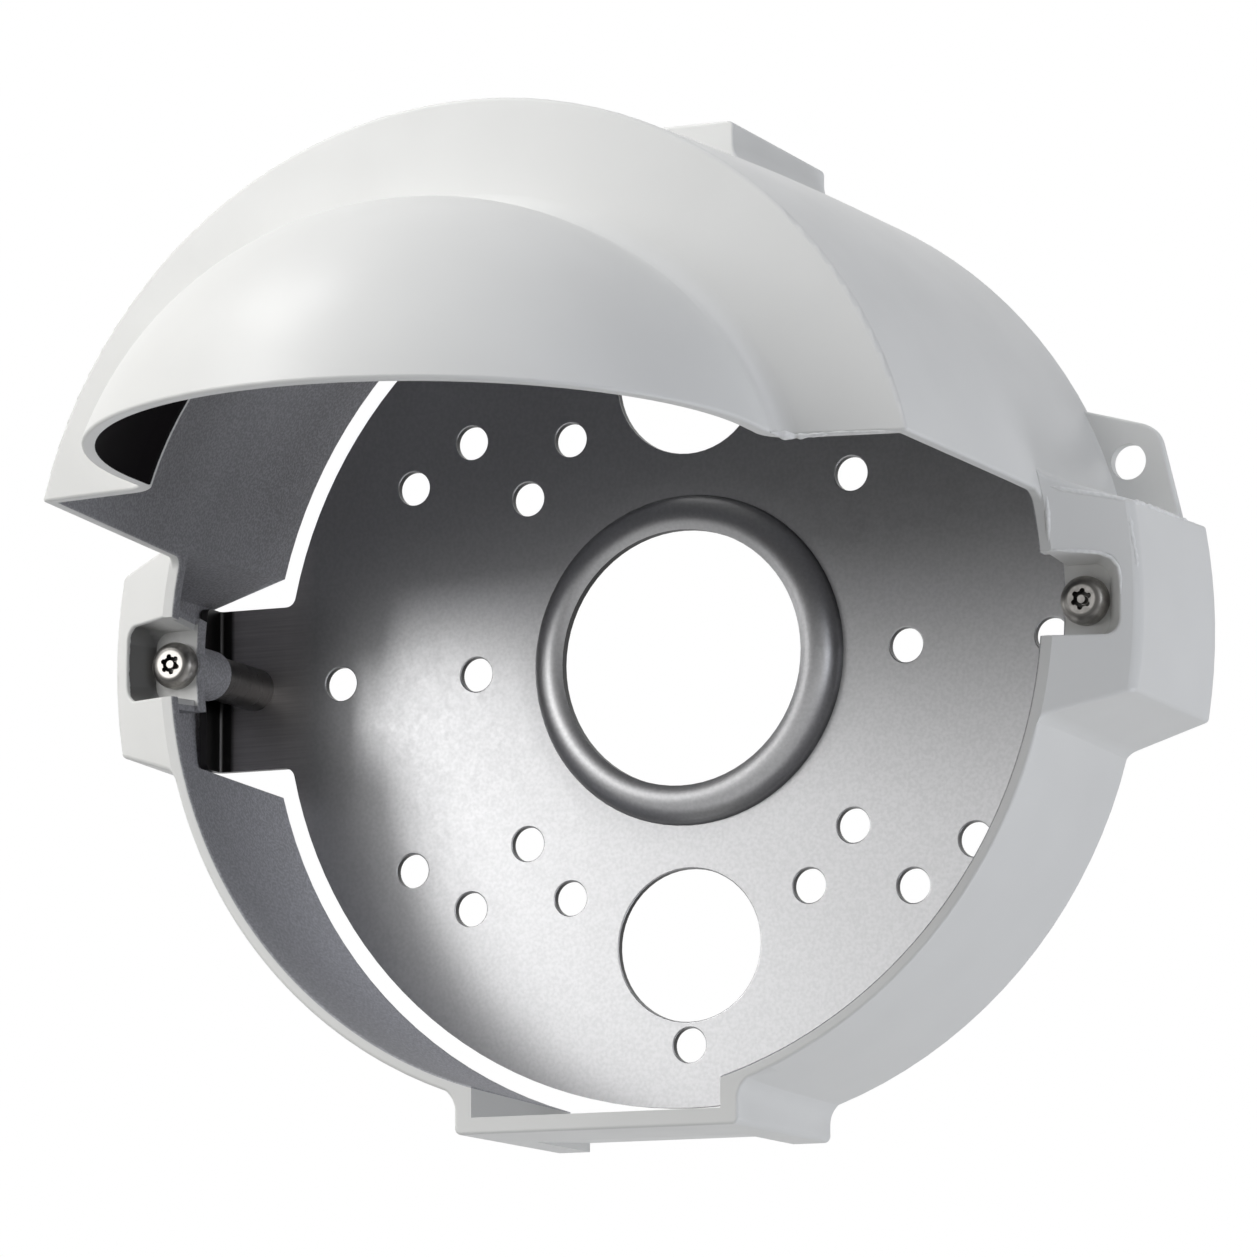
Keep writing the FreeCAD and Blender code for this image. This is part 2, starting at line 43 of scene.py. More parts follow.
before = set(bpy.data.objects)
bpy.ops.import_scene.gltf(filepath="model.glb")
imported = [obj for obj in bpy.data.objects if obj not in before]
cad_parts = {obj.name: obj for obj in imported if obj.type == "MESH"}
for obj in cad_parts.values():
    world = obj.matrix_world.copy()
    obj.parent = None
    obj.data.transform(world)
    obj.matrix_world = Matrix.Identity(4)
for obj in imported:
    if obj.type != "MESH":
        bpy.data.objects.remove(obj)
cad_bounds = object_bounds()

MM = 0.001
WHITE = (1.0, 1.0, 1.0)


# Settings

class ShroudSettings(bpy.types.PropertyGroup):
    """Finish of the moulded shroud."""
    colour: FloatVectorProperty(
        name="Plastic colour", description="Colour of the off-white plastic",
        default=(0.72, 0.72, 0.705), size=3, min=0, max=1, subtype="COLOR")
    roughness: FloatProperty(
        name="Roughness", description="Satin of the moulded surface",
        default=0.42, min=0, max=1, subtype="FACTOR")
    grain: FloatProperty(
        name="Grain depth", description="Height of the fine texture that the mould leaves",
        default=0.02 * MM, min=0, subtype="DISTANCE", unit="LENGTH", precision=6)
    # Painted shade: the inner face has a darker copy of the plastic's colour
    shaded_inner_colour: FloatVectorProperty(
        name="Inner colour", description="Colour of the textured inner face of the band and hood",
        default=(0.47, 0.47, 0.495), size=3, min=0, max=1, subtype="COLOR")
    # Painted shade: the inside is darkened under the hood
    hood_shade: FloatProperty(
        name="Hood shade", description="How much of the inner colour is left under the hood",
        default=0.86, min=0, max=1, subtype="FACTOR")
    # Painted shade: the outer end of the left screw pocket is darkened
    pocket_shade: FloatProperty(
        name="Pocket shade", description="How much of the colour is left where the left screw pocket is stained",
        default=0.2, min=0, max=1, subtype="FACTOR")
    # Painted light: the inside is made paler beside the wall
    wall_light: FloatProperty(
        name="Pale end", description="How much paler the inside is beside the wall",
        default=1.5, min=0, max=2)
    # The inside of the peak is near-black and, set fully metallic on this colour, reflects nothing
    peak_colour: FloatVectorProperty(
        name="Peak lining colour", description="Colour of the anti-glare coat inside the peak",
        default=(0.004, 0.003, 0.004), size=3, min=0, max=1, subtype="COLOR")
    inner_roughness: FloatProperty(
        name="Inner roughness", description="Roughness of the textured inner face",
        default=0.75, min=0, max=1, subtype="FACTOR")


class FlashSettings(bpy.types.PropertyGroup):
    """Thin ridges along edges, paler than the wall: ragged flash that the mould leaves, and painted
    highlights.
    """
    width: FloatProperty(
        name="Width", description="Width of a ridge of thickness 1",
        default=0.5 * MM, min=0, subtype="DISTANCE", unit="LENGTH", precision=5)
    spacing: FloatProperty(
        name="Spacing", description="Distance from one ring of a ridge to the next",
        default=0.3 * MM, min=0.05 * MM, subtype="DISTANCE", unit="LENGTH", precision=5)
    # Painted highlight: the ridges' paler colour, over real flash on the ragged ones
    colour: FloatVectorProperty(
        name="Ridge colour", description="Colour of the thin plastic, a little paler than the wall",
        default=(0.84, 0.84, 0.83), size=3, min=0, max=1, subtype="COLOR")


class PlateSettings(bpy.types.PropertyGroup):
    """Finish of the pressed steel plate."""
    colour: FloatVectorProperty(
        name="Steel colour", description="Colour of the stainless sheet",
        default=(0.43, 0.43, 0.437), size=3, min=0, max=1, subtype="COLOR")
    # Painted light: the ears have a brighter copy of the sheet's colour; their brushed streaks are real
    ear_lit_colour: FloatVectorProperty(
        name="Ear colour", description="Colour of the ears, which are brushed",
        default=(0.66, 0.635, 0.63), size=3, min=0, max=1, subtype="COLOR")
    roughness: FloatProperty(
        name="Roughness", description="Roughness of the satin face",
        default=0.35, min=0, max=1, subtype="FACTOR")
    collar_roughness: FloatProperty(
        name="Collar roughness", description="Roughness of the drawn collar",
        default=0.4, min=0, max=1, subtype="FACTOR")


class FastenerSettings(bpy.types.PropertyGroup):
    """Finish of the screws and standoffs."""
    screw_colour: FloatVectorProperty(
        name="Screw colour", description="Colour of the bright screws",
        default=(0.42, 0.405, 0.385), size=3, min=0, max=1, subtype="COLOR")
    # Painted shade in the screws' driver sockets
    socket_shade: FloatProperty(
        name="Socket shade", description="How much of the colour is left inside the screws' sockets",
        default=0.12, min=0, max=1, subtype="FACTOR")
    standoff_colour: FloatVectorProperty(
        name="Standoff colour", description="Colour of the turned standoffs",
        default=(0.12, 0.115, 0.112), size=3, min=0, max=1, subtype="COLOR")


def lamp_power(name, description, power):
    return FloatProperty(name=name, description=description, default=power,
                         min=0, subtype="POWER", unit="POWER")


class StageSettings(bpy.types.PropertyGroup):
    """Camera, lamps, floor and backdrop."""
    camera_place: FloatVectorProperty(
        name="Camera place", description="Where the camera stands",
        default=(0.47197, -1.10300, -0.18799), size=3, subtype="TRANSLATION", unit="LENGTH")
    camera_turn: FloatProperty(
        name="Camera turn", description="How far the camera stands round to the right",
        default=math.radians(23.704), subtype="ANGLE", unit="ROTATION")
    camera_tilt: FloatProperty(
        name="Camera tilt", description="How far the camera looks up",
        default=math.radians(9.180), subtype="ANGLE", unit="ROTATION")
    camera_roll: FloatProperty(
        name="Camera roll", description="How far the camera leans about its view",
        default=math.radians(-0.105), subtype="ANGLE", unit="ROTATION")
    lens: FloatProperty(
        name="Lens", description="Focal length on the 36 mm sensor",
        default=194.86, min=1, unit="CAMERA")
    floor_drop: FloatProperty(
        name="Floor drop", description="How far the floor lies below the object",
        default=0.9, min=0, subtype="DISTANCE", unit="LENGTH")
    floor_paleness: FloatProperty(
        name="Floor paleness",
        description="How pale the floor looks before any lamp reaches it, where 1 is white",
        default=0.45, min=0, max=1)
    ambient: FloatProperty(
        name="Ambient light", description="Strength of the soft light from all round",
        default=0.08, min=0, soft_max=2)
    key_power: lamp_power("Key lamp", "Large lamp at the upper left", 11.8)
    left_power: lamp_power("Left lamp", "Lamp level with the object at the left", 3.2)
    top_power: lamp_power("Top lamp", "Lamp overhead, a little to the left", 7.0)
    high_power: lamp_power("High lamp", "Lamp at the upper right", 4.0)
    side_power: lamp_power("Right lamp", "Lamp in front at the right", 5.9)
    low_power: lamp_power("Low lamp", "Lamp below the right side", 4.1)
    sheen_power: lamp_power("Sheen lamp", "Lamp that the left of the plate mirrors", 4.9)


# Materials

def math_node(tree, operation, *terms):
    """What a new Math node makes from its terms, which are numbers or other nodes' outputs."""
    node = tree.nodes.new("ShaderNodeMath")
    node.operation = operation
    for socket, term in zip(node.inputs, terms):
        if isinstance(term, (int, float)):
            socket.default_value = term
        else:
            tree.links.new(term, socket)
    return node.outputs["Value"]


def shade(colour, share=1.0):
    """A share of a colour, opaque."""
    return (*(part * share for part in colour), 1.0)


class Shader:
    """A material's node tree, with short calls to add and join nodes."""

    def __init__(self, name):
        self.material = bpy.data.materials.new(name)
        self.material.use_nodes = True
        self.tree = self.material.node_tree
        self.surface = self.tree.nodes["Principled BSDF"]
        self.place = self.tree.nodes.new("ShaderNodeTexCoord").outputs["Object"]

    def add(self, kind, **settings):
        node = self.tree.nodes.new(kind)
        for key, value in settings.items():
            setattr(node, key, value)
        return node

    def join(self, source, target):
        self.tree.links.new(source, target)

    def axes(self, vector):
        """The parts of a vector across, towards the wall and up."""
        node = self.add("ShaderNodeSeparateXYZ")
        self.join(vector, node.inputs["Vector"])
        return node.outputs

    def stretched(self, scale):
        """Object coordinates, in metres, multiplied along each axis."""
        mapping = self.add("ShaderNodeMapping")
        mapping.inputs["Scale"].default_value = scale
        self.join(self.place, mapping.inputs["Vector"])
        return mapping.outputs["Vector"]

    def noise(self, scale, detail=2.0, roughness=0.5, vector=None):
        node = self.add("ShaderNodeTexNoise")
        node.inputs["Scale"].default_value = scale
        node.inputs["Detail"].default_value = detail
        node.inputs["Roughness"].default_value = roughness
        self.join(self.place if vector is None else vector, node.inputs["Vector"])
        return node.outputs["Fac"]

    def spread(self, value, low, high, to_low=0.0, to_high=1.0):
        """Maps a range of a value onto another, clamped at both ends."""
        node = self.add("ShaderNodeMapRange")
        for name, number in (("From Min", low), ("From Max", high),
                             ("To Min", to_low), ("To Max", to_high)):
            node.inputs[name].default_value = number
        self.join(value, node.inputs["Value"])
        return node.outputs["Result"]

    def math(self, operation, *terms):
        return math_node(self.tree, operation, *terms)

    def squares(self, first, second):
        """Sum of two squares."""
        return self.math("ADD", self.math("POWER", first, 2.0), self.math("POWER", second, 2.0))

    def below(self, limit, *terms):
        """1 where a sum of values, each times a factor, lies below a limit."""
        total = 0.0
        for value, factor in terms:
            total = self.math("ADD", self.math("MULTIPLY", value, factor), total)
        return self.math("LESS_THAN", total, limit)

    def all_of(self, *masks):
        whole = masks[0]
        for mask in masks[1:]:
            whole = self.math("MULTIPLY", whole, mask)
        return whole

    def mix(self, factor, first, second):
        """Colour between two colours."""
        node = self.add("ShaderNodeMix", data_type="RGBA")
        self.join(factor, node.inputs["Factor"])
        for name, value in (("A", first), ("B", second)):
            socket = next(s for s in node.inputs if s.name == name and s.type == "RGBA")
            if isinstance(value, tuple):
                socket.default_value = value
            else:
                self.join(value, socket)
        return next(s for s in node.outputs if s.type == "RGBA")

    def between(self, factor, first, second):
        """Number between a value and a plain number."""
        node = self.add("ShaderNodeMix", data_type="FLOAT")
        self.join(factor, node.inputs["Factor"])
        self.join(first, node.inputs["A"])
        node.inputs["B"].default_value = second
        return node.outputs["Result"]

    def mottled(self, noise, colour, dark, pale=1.0, low=0.35, high=0.65):
        """A colour that wanders between two shares of itself."""
        return self.mix(self.spread(noise, low, high), shade(colour, dark), shade(colour, pale))

    def rough(self, noise, middle, less, more, low=0.3, high=0.7):
        """A roughness that wanders a little about its middle."""
        return self.spread(noise, low, high, middle - less, middle + more)

    def bump(self, height, depth, normal=None):
        node = self.add("ShaderNodeBump")
        node.inputs["Distance"].default_value = depth
        self.join(height, node.inputs["Height"])
        if normal is not None:
            self.join(normal, node.inputs["Normal"])
        return node.outputs["Normal"]

    def finished(self, tone, roughness, normal, **constants):
        """The material, with its colour, roughness and normal joined and its constants set."""
        for name, source in (("Base Color", tone), ("Roughness", roughness), ("Normal", normal)):
            self.join(source, self.surface.inputs[name])
        for name, number in constants.items():
            self.surface.inputs[name].default_value = number
        return self.material


# Sizes of the moulding that its finishes follow. A taper, slope, lean or draft is a length per length.
WALL_MIDDLE = 1.05 * MM
BAND_START = 1.0 * MM
BAND_MIDDLE_RADIUS = 83.35 * MM
BAND_DRAW = 0.9 * MM
RIM_DEPTH = 42.8 * MM
RIM_RADIUS = 84.4 * MM
HOOD_END = 94.4 * MM
HOOD_DRAW = 2.9 * MM
FACE_INNER_RADIUS = 58.6 * MM
FACE_OUTER_RADIUS = 79.4 * MM
FACE_INNER_BACK = 98.2 * MM
FACE_OUTER_BACK = 94.7 * MM
LUG_RADIUS = 98.7 * MM
LUG_TAPER = 0.038
LUG_FRONT_SLOPE = 0.569
LUG_FRONT = RIM_DEPTH + RIM_RADIUS * LUG_FRONT_SLOPE
LUG_FRONT_WALL = 1.2 * MM
LUG_SIDE_LEAN = math.tan(math.radians(18.0))
LUG_DRAFT = math.tan(math.radians(2.0))
LUG_SIDE_REACH = 48.7 * MM
POCKET_FLOOR = 31.0 * MM
POCKET_HALF = 4.82 * MM
POCKET_SIDE_SLOPE = math.tan(math.radians(4.5))
POCKET_END = 70.03 * MM
POCKET_END_SLOPE = math.tan(math.radians(34.0))
PEAK_CENTRE = 108.3 * MM
PEAK_MIDDLE_RADIUS = 58.75 * MM
PEAK_START = 97.5 * MM

# Where the painted shade at the outer end of the left screw pocket starts and is full across the pocket,
# how far its edge wanders, and its distance from the pocket's rim, sides and floor
POCKET_SHADE_START = 86.8 * MM
POCKET_SHADE_FULL = 91.8 * MM
POCKET_SHADE_RAGGED = 1.6 * MM
POCKET_SHADE_WANDER = 0.6
POCKET_SHADE_RIM = 1.2 * MM
POCKET_SHADE_SIDE = 0.6 * MM
POCKET_SHADE_FLOOR = 0.3 * MM

# Spans along Y where the inside is painted darker as shade under the hood and paler as light beside the
# wall
UNDER_HOOD = (-72.0 * MM, -42.0 * MM)
NEAR_WALL = (-34.0 * MM, -3.0 * MM)

# Spans of the plate: radius at the collar's foot, and distance across at the ears and at their bends,
# past which the bent lips are painted dark as shade
COLLAR_FOOT = (30.0 * MM, 34.0 * MM)
EAR_START = (74.0 * MM, 80.0 * MM)
EAR_BEND = (90.6 * MM, 91.4 * MM)
EAR_BEND_SHADE = 0.12

# How far a face of the plate still looks to the front or the wall where it is painted dark as shade, in
# its holes, along its edges and at the steep foot of the collar
SIDEWAYS_FACING = (0.15, 0.4)
SIDEWAYS_SHADE = 0.03

# The screws: place across, depth of the head's front, and radii and depth of the socket, its pin and the
# flat face with the rim around it that is painted dark as shade
SCREW_PLACE = 86.5 * MM
HEAD_FRONT = 35.1 * MM
HEAD_SKIN = 0.1 * MM
SOCKET_REACH = 2.0 * MM
SOCKET_DEPTH = 1.75 * MM
PIN_REACH = 0.78 * MM
FACE_EDGE = (2.35 * MM, 2.65 * MM)
FACE_RIM_EDGE = (3.05 * MM, 3.85 * MM)
FACE_RIM_SHADE = 0.25

# Fineness of the patterns, in waves per metre, which for the last two differs along each axis
PLASTIC_CLOUD = 35.0
PLASTIC_SHEEN = 90.0
PLASTIC_GRAIN = 1800.0
INNER_SPECK = 2200.0
POCKET_SHADE_EDGE = 420.0
FLASH_CLOUD = 1200.0
FLASH_LUMPS = 700.0
SHEET_GRAIN = 900.0
SHEET_TINT = 1500.0
SCREW_GRAIN = 900.0
EAR_STREAKS = (60.0, 1.0, 2600.0)
LATHE_MARKS = (200.0, 3000.0, 200.0)

# Share of the grain's depth on the outer face, and the tone left between the specks of the inner one
OUTER_GRAIN = 0.25
SPECK_SHADE = 0.72


def inner_faces(shader):
    """Masks of the band's, hood's and lugs' hollow side, of the peak's inside and of the left pocket's
    wall where shade is painted.
    """
    x, y, z = shader.axes(shader.place)
    depth = shader.math("MULTIPLY", y, -1.0)
    across = shader.math("ABSOLUTE", x)
    up = shader.math("ABSOLUTE", z)
    squares = shader.squares(across, up)
    radius = shader.math("SQRT", squares)

    drawn_in = shader.math("ADD", shader.spread(depth, BAND_START, RIM_DEPTH, 0.0, BAND_DRAW),
                           shader.spread(depth, RIM_DEPTH, HOOD_END, 0.0, HOOD_DRAW))
    face_back = shader.spread(radius, FACE_INNER_RADIUS, FACE_OUTER_RADIUS,
                              FACE_INNER_BACK, FACE_OUTER_BACK)
    in_band = shader.all_of(
        shader.below(BAND_MIDDLE_RADIUS, (radius, 1.0), (drawn_in, 1.0)),
        shader.below(0.0, (depth, 1.0), (face_back, -1.0)))

    in_lug_end = shader.below(LUG_RADIUS - WALL_MIDDLE, (radius, 1.0), (depth, LUG_TAPER))
    in_lug = shader.all_of(
        shader.below(LUG_SIDE_REACH - WALL_MIDDLE,
                     (up, 1.0), (depth, LUG_DRAFT), (across, LUG_SIDE_LEAN)),
        shader.below(LUG_FRONT - LUG_FRONT_WALL, (depth, 1.0), (radius, LUG_FRONT_SLOPE)),
        in_lug_end)
    in_pocket = shader.all_of(
        shader.below(-POCKET_FLOOR, (depth, -1.0)),
        shader.below(POCKET_HALF, (up, 1.0), (depth, -POCKET_SIDE_SLOPE)),
        shader.below(POCKET_END, (across, 1.0), (depth, -POCKET_END_SLOPE)))
    in_lug = shader.math("SUBTRACT", in_lug, in_pocket)

    edge_noise = shader.noise(POCKET_SHADE_EDGE, detail=3.0, roughness=0.7)
    ragged = shader.math("MULTIPLY", edge_noise, POCKET_SHADE_RAGGED)
    # Painted shade: a ragged dark patch at the outer end of the left screw pocket
    shaded = shader.all_of(
        shader.spread(shader.math("ADD", across, ragged), POCKET_SHADE_START, POCKET_SHADE_FULL),
        shader.below(LUG_FRONT - POCKET_SHADE_RIM,
                     (depth, 1.0), (radius, LUG_FRONT_SLOPE), (ragged, -POCKET_SHADE_WANDER)),
        in_lug_end,
        shader.below(POCKET_HALF + POCKET_SHADE_SIDE, (up, 1.0), (depth, -POCKET_SIDE_SLOPE)),
        shader.below(-POCKET_FLOOR + POCKET_SHADE_FLOOR, (depth, -1.0)),
        shader.below(0.0, (x, 1.0)))

    past_neck = shader.math("MAXIMUM", shader.math("SUBTRACT", depth, PEAK_CENTRE), 0.0)
    to_centre = shader.math("SQRT", shader.math("ADD", squares, shader.math("POWER", past_neck, 2.0)))
    in_peak = shader.all_of(
        shader.below(PEAK_MIDDLE_RADIUS, (to_centre, 1.0)), shader.below(-PEAK_START, (depth, -1.0)))
    return shader.math("MAXIMUM", in_band, in_lug), in_peak, shaded


def moulded_plastic(settings):
    """Off-white satin plastic, smooth outside and textured inside, with painted shade and light on the
    inside and near-black in the peak.
    """
    shader = Shader("moulded_plastic")
    # The darker inner colour is painted shade
    inner = settings.shaded_inner_colour
    in_band, in_peak, shaded = inner_faces(shader)

    speck = shader.spread(shader.noise(INNER_SPECK, detail=1.0), low=0.42, high=0.62)
    y = shader.axes(shader.place)["Y"]
    # Painted light beside the wall and painted shade under the hood
    inner_light_and_shade = shader.mix(shader.spread(y, *NEAR_WALL), shade(inner), shade(inner, settings.wall_light))
    inner_light_and_shade = shader.mix(shader.spread(y, *UNDER_HOOD, 1.0, 0.0), inner_light_and_shade,
                            shade(inner, settings.hood_shade))
    speckled = shader.add("ShaderNodeVectorMath", operation="SCALE")
    shader.join(inner_light_and_shade, speckled.inputs[0])
    shader.join(shader.spread(speck, 0.0, 1.0, to_low=SPECK_SHADE), speckled.inputs["Scale"])

    tone = shader.mottled(shader.noise(PLASTIC_CLOUD), settings.colour, dark=0.97)
    # Painted shade at the outer end of the left screw pocket
    tone = shader.mix(shaded, tone, shade(settings.colour, settings.pocket_shade))
    tone = shader.mix(in_band, tone, speckled.outputs["Vector"])
    tone = shader.mix(in_peak, tone, shade(settings.peak_colour))
    shader.join(in_peak, shader.surface.inputs["Metallic"])

    outer_rough = shader.rough(shader.noise(PLASTIC_SHEEN), settings.roughness, less=0.03, more=0.05)
    hollow = shader.math("MAXIMUM", in_band, in_peak)
    rough = shader.between(hollow, outer_rough, settings.inner_roughness)
    fine = shader.bump(shader.noise(PLASTIC_GRAIN), OUTER_GRAIN * settings.grain)
    textured = shader.bump(shader.math("MULTIPLY", speck, in_band), settings.grain, fine)
    return shader.finished(tone, rough, textured, IOR=1.47)


def satin_sheet(settings):
    """Stainless sheet: a fine satin grain, brushed along the ears, a little rougher on the collar, with
    painted shade on faces turned sideways and on the bent lips, and painted light on the ears.
    """
    shader = Shader("satin_sheet")
    x, _, z = shader.axes(shader.place)
    across = shader.math("ABSOLUTE", x)
    radius = shader.math("SQRT", shader.squares(x, z))
    on_collar = shader.spread(radius, *COLLAR_FOOT, 1.0, 0.0)
    on_ear = shader.spread(across, *EAR_START)
    grain = shader.noise(SHEET_GRAIN, detail=1.0)
    streaks = shader.noise(1.0, roughness=0.6, vector=shader.stretched(EAR_STREAKS))

    tone = shader.mottled(shader.noise(SHEET_TINT), settings.colour, dark=0.91, pale=1.01)
    # Painted light: the ears take a brighter copy of the sheet's colour
    tone = shader.mix(on_ear, tone, shader.mottled(streaks, settings.ear_lit_colour, dark=0.85))
    # Painted shade on the ears' bent lips
    tone = shader.mix(shader.spread(across, *EAR_BEND), tone, shade(settings.ear_lit_colour, EAR_BEND_SHADE))
    # Painted shade: faces of the plate turned sideways are darkened
    facing = shader.axes(shader.add("ShaderNodeTexCoord").outputs["Normal"])["Y"]
    sideways_shade = shader.spread(shader.math("ABSOLUTE", facing), *SIDEWAYS_FACING, 1.0, 0.0)
    tone = shader.mix(sideways_shade, tone, shade(settings.colour, SIDEWAYS_SHADE))

    satin = shader.rough(grain, settings.roughness, less=0.015, more=0.025)
    rough = shader.between(on_collar, satin, settings.collar_roughness)
    fine = shader.bump(grain, depth=0.001 * MM)
    brushed = shader.bump(shader.math("MULTIPLY", streaks, on_ear), depth=0.01 * MM, normal=fine)
    return shader.finished(tone, rough, brushed, Metallic=1.0)


def turned_steel(settings):
    """Dark steel with fine rings left by the lathe."""
    shader = Shader("dark_steel")
    marks = shader.noise(1.0, vector=shader.stretched(LATHE_MARKS))
    tone = shader.mottled(marks, settings.standoff_colour, dark=0.8)
    rough = shader.rough(marks, middle=0.3, less=0.04, more=0.06)
    return shader.finished(tone, rough, shader.bump(marks, depth=0.004 * MM), Metallic=1.0)


def screw_steel(settings):
    """Bright steel, with painted shade in the driver sockets around their pins and where the head rounds
    off.
    """
    shader = Shader("bright_steel")
    colour = settings.screw_colour
    x, y, z = shader.axes(shader.place)
    aside = shader.math("SUBTRACT", shader.math("ABSOLUTE", x), SCREW_PLACE)
    radius = shader.math("SQRT", shader.squares(aside, z))
    in_socket = shader.all_of(
        shader.below(SOCKET_REACH, (radius, 1.0)), shader.below(-PIN_REACH, (radius, -1.0)),
        shader.below(HEAD_FRONT - HEAD_SKIN, (y, -1.0)),
        shader.below(SOCKET_DEPTH - HEAD_FRONT, (y, 1.0)))
    # Painted shade on the ring where the flat face rounds into the dome
    rim_shade = shader.math("MULTIPLY", shader.spread(radius, *FACE_EDGE),
                           shader.spread(radius, *FACE_RIM_EDGE, 1.0, 0.0))
    grain = shader.noise(SCREW_GRAIN)
    tone = shader.mottled(grain, colour, dark=0.7)
    tone = shader.mix(rim_shade, tone, shade(colour, FACE_RIM_SHADE))
    # Painted shade in the driver sockets
    tone = shader.mix(in_socket, tone, shade(colour, settings.socket_shade))
    rough = shader.rough(grain, middle=0.34, less=0.04, more=0.1)
    return shader.finished(tone, rough, shader.bump(grain, depth=0.003 * MM), Metallic=1.0)


def thin_plastic(settings):
    """The pale, slightly cloudy plastic of the ridges: flash, and painted highlight along edges."""
    shader = Shader("thin_plastic")
    cloud = shader.noise(FLASH_CLOUD)
    tone = shader.mottled(cloud, settings.colour, dark=0.86, low=0.3, high=0.7)
    rough = shader.rough(cloud, middle=0.4, less=0.0, more=0.1)
    return shader.finished(tone, rough, shader.bump(cloud, depth=0.01 * MM))


# Moulding flash and painted highlights

# Each ridge is a line of points in millimetres along an edge of the shroud, with its thickness as a
# multiple of the named width, and how ragged it is, from 0 to 1. Those of raggedness 1 are flash, the
# others pale lines of painted highlight
RIDGES = {
    "face_edge": (
        ((57.9, -102.5, 19.1), (58.5, -101.1, 19.0), (59.4, -100.1, 18.9), (60.5, -99.4, 18.8),
         (61.9, -99.1, 18.75), (63.2, -98.9, 18.8), (66.5, -98.3, 18.95)), 1.9, 1.0),
    "face_line": (
        ((62.5, -98.85, 19.05), (68.3, -98.0, 19.05), (71.5, -97.4, 19.0), (74.8, -96.85, 18.95),
         (77.3, -96.4, 18.95)), 1.4, 0.25),
    "lug_top": (
        ((83.5, -42.05, 18.4), (85.3, -41.15, 18.0), (88.3, -39.5, 17.45), (91.3, -37.85, 17.0),
         (94.2, -36.15, 16.35), (95.9, -33.9, 16.0), (96.1, -30.0, 16.1)), 1.7, 0.15),
    "lug_corner": (
        ((94.9, -35.3, 16.3), (96.0, -33.8, 16.2), (96.2, -27.2, 16.4), (96.5, -15.0, 16.65),
         (96.8, -6.0, 16.9)), 1.3, 1.0),
    "lug_crest": (
        ((95.22, -35.51, 14.9), (95.53, -35.46, 12.7), (95.83, -35.46, 10.1), (96.27, -35.33, 7.6),
         (96.52, -35.18, 5.0), (96.72, -35.08, 0.8)), 2.0, 0.4),
    "step_line": (
        ((83.05, -42.15, 18.0), (83.25, -42.33, 15.1), (83.45, -42.52, 12.5), (83.55, -42.52, 9.9),
         (83.7, -42.52, 7.6)), 2.0, 0.2),
    "pocket_line": (
        ((84.5, -42.45, 7.35), (86.5, -41.3, 7.3), (89.0, -39.85, 7.2), (91.2, -38.6, 7.0),
         (92.9, -37.75, 6.2), (93.95, -37.2, 4.75), (94.25, -37.1, 2.8), (94.3, -37.1, 0.0)), 1.4, 0.15),
}

# Share of its thickness at a ridge's ends, sides of its rings, how far its lumps reach, their detail and
# the least of them as a share of the thickness, and the seed
RIDGE_END = 0.3
RIDGE_SIDES = 8
LUMP_REACH = 3.6
LUMP_DETAIL = 1.5
LEAST_LUMP = 0.25
FLASH_SEED = 7.3


def ridge_lines():
    """All the ridges' lines as one mesh of points and edges, with their thickness and raggedness."""
    points, edges, thick, ragged = [], [], [], []
    for line, thickness, raggedness in RIDGES.values():
        first = len(points)
        points += [tuple(part * MM for part in point) for point in line]
        edges += [(first + i, first + i + 1) for i in range(len(line) - 1)]
        thick += [thickness * RIDGE_END] + [thickness] * (len(line) - 2) + [thickness * RIDGE_END]
        ragged += [raggedness] * len(line)
    mesh = bpy.data.meshes.new("ridge_lines")
    mesh.from_pydata(points, edges, [])
    for name, values in (("thick", thick), ("ragged", ragged)):
        mesh.attributes.new(name, "FLOAT", "POINT").data.foreach_set("value", values)
    return mesh


